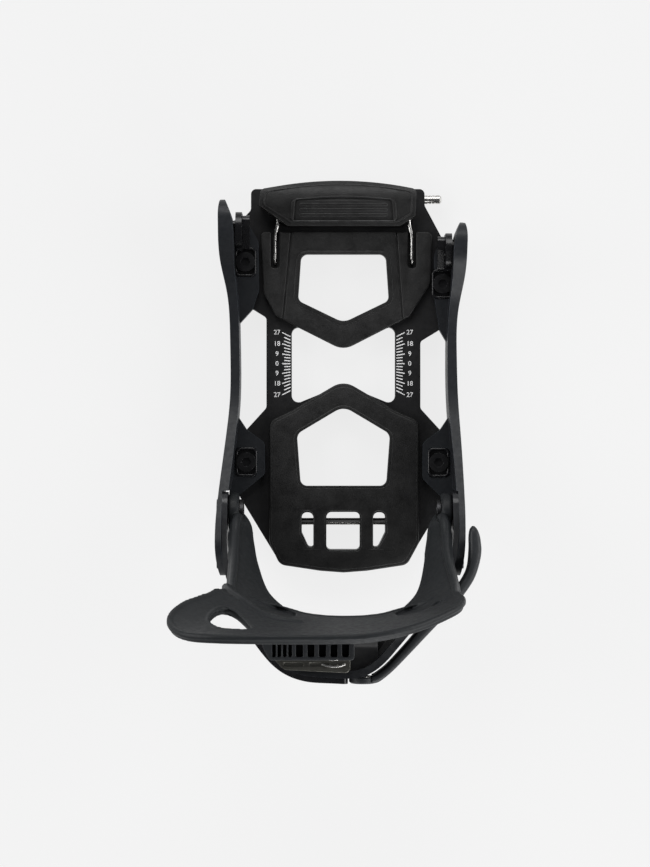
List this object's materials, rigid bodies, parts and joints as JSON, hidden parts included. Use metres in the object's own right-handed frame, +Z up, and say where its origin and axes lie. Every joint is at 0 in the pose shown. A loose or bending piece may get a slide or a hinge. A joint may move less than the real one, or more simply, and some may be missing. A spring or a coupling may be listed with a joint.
{
  "type": "step-in snowboard binding",
  "caption": "Strapless step-in snowboard binding for a right foot: open-centre chassis, toe hooks, heel hoop with latch and lever, folding highback.",
  "frame": {"origin": "on the board's surface, in the middle of the hourglass opening, at the zero mark of the angle scale", "axes": "+X towards the outer side of the right foot, +Y towards the toe, +Z up from the board"},
  "size_m": [0.1652, 0.2811, 0.2003],
  "materials": {
    "chassis_nylon": "near-black glass-filled nylon with a fine moulded grain",
    "rail_nylon": "charcoal glass-filled nylon, satin",
    "base_foam": "closed-cell foam, matte",
    "footbed_rubber": "moulded foam and rubber, fine grain, soft sheen",
    "bright_steel": "drawn stainless steel",
    "dark_steel": "black oxide steel",
    "gloss_black": "glossy black",
    "hoop_metal": "black coated forged aluminium",
    "highback_nylon": "dark grey nylon, soft matte",
    "lever_nylon": "dark grey nylon, matte",
    "bushing_plastic": "natural acetal"
  },
  "bodies": {
    "base": {"base_chassis": "chassis_nylon", "toe_base_pad": "base_foam", "heel_base_pad": "base_foam", "toe_footbed": "footbed_rubber", "heel_footbed": "footbed_rubber", "toe_rod": "bright_steel", "heel_rod": "bright_steel", "side_rail_left": "rail_nylon", "side_rail_right": "rail_nylon", "rail_bolts": "dark_steel", "rail_washers": "gloss_black", "rail_nuts": "dark_steel", "toe_hook_left": "gloss_black", "toe_hook_right": "gloss_black", "hook_cover_left": "gloss_black", "hook_cover_right": "gloss_black", "hook_screws": "gloss_black", "heel_hoop": "hoop_metal", "hoop_screws": "dark_steel", "hoop_nuts": "dark_steel", "latch_housing": "chassis_nylon", "latch_housing_bolts": "dark_steel", "catch_springs": "bright_steel", "latch_cover": "gloss_black", "cover_screws": "dark_steel", "lever_pin": "dark_steel", "lever_circlip": "bright_steel", "lever_spring": "bright_steel", "pivot_bolts": "dark_steel", "pivot_nuts": "dark_steel"},
    "heel_catch": {"heel_catch": "bright_steel"},
    "release_lever": {"release_lever": "lever_nylon"},
    "highback": {"highback": "highback_nylon", "pivot_bushings": "bushing_plastic", "lean_rack": "highback_nylon", "rack_screws": "dark_steel"},
    "lean_adjuster": {"lean_block": "lever_nylon", "lean_foot": "dark_steel"},
    "gas_pedal": {"gas_pedal": "footbed_rubber", "pedal_panel": "chassis_nylon", "pedal_wire_clamp": "chassis_nylon", "pedal_wire_left": "bright_steel", "pedal_wire_right": "bright_steel"}
  },
  "joints": [
    {"name": "highback_fold", "type": "hinge", "parent": "base", "child": "highback", "pos_m": [0, -0.084, 0.045], "axis": [-1, 0, 0], "range_deg": [0, 70]},
    {"name": "lever_lift", "type": "hinge", "parent": "base", "child": "release_lever", "pos_m": [0.01, -0.1745, 0.076], "axis": [0, -1, 0], "range_deg": [0, 20], "stiffness_Nm_per_rad": 0.3, "springref_deg": -17.19},
    {"name": "catch_draw", "type": "slide", "parent": "base", "child": "heel_catch", "axis": [0, -1, 0], "range_m": [0, 0.005], "stiffness_N_per_m": 60, "springref_m": -0.003},
    {"name": "lean_slide", "type": "slide", "parent": "highback", "child": "lean_adjuster", "axis": [0, 0, 1], "range_m": [0, 0.012]},
    {"name": "pedal_slide", "type": "slide", "parent": "base", "child": "gas_pedal", "axis": [0, 1, 0], "range_m": [0, 0.01]}
  ],
  "couplings": [
    {"joint": "catch_draw", "follows": "lever_lift", "m_per_rad": 0.0143}
  ]
}
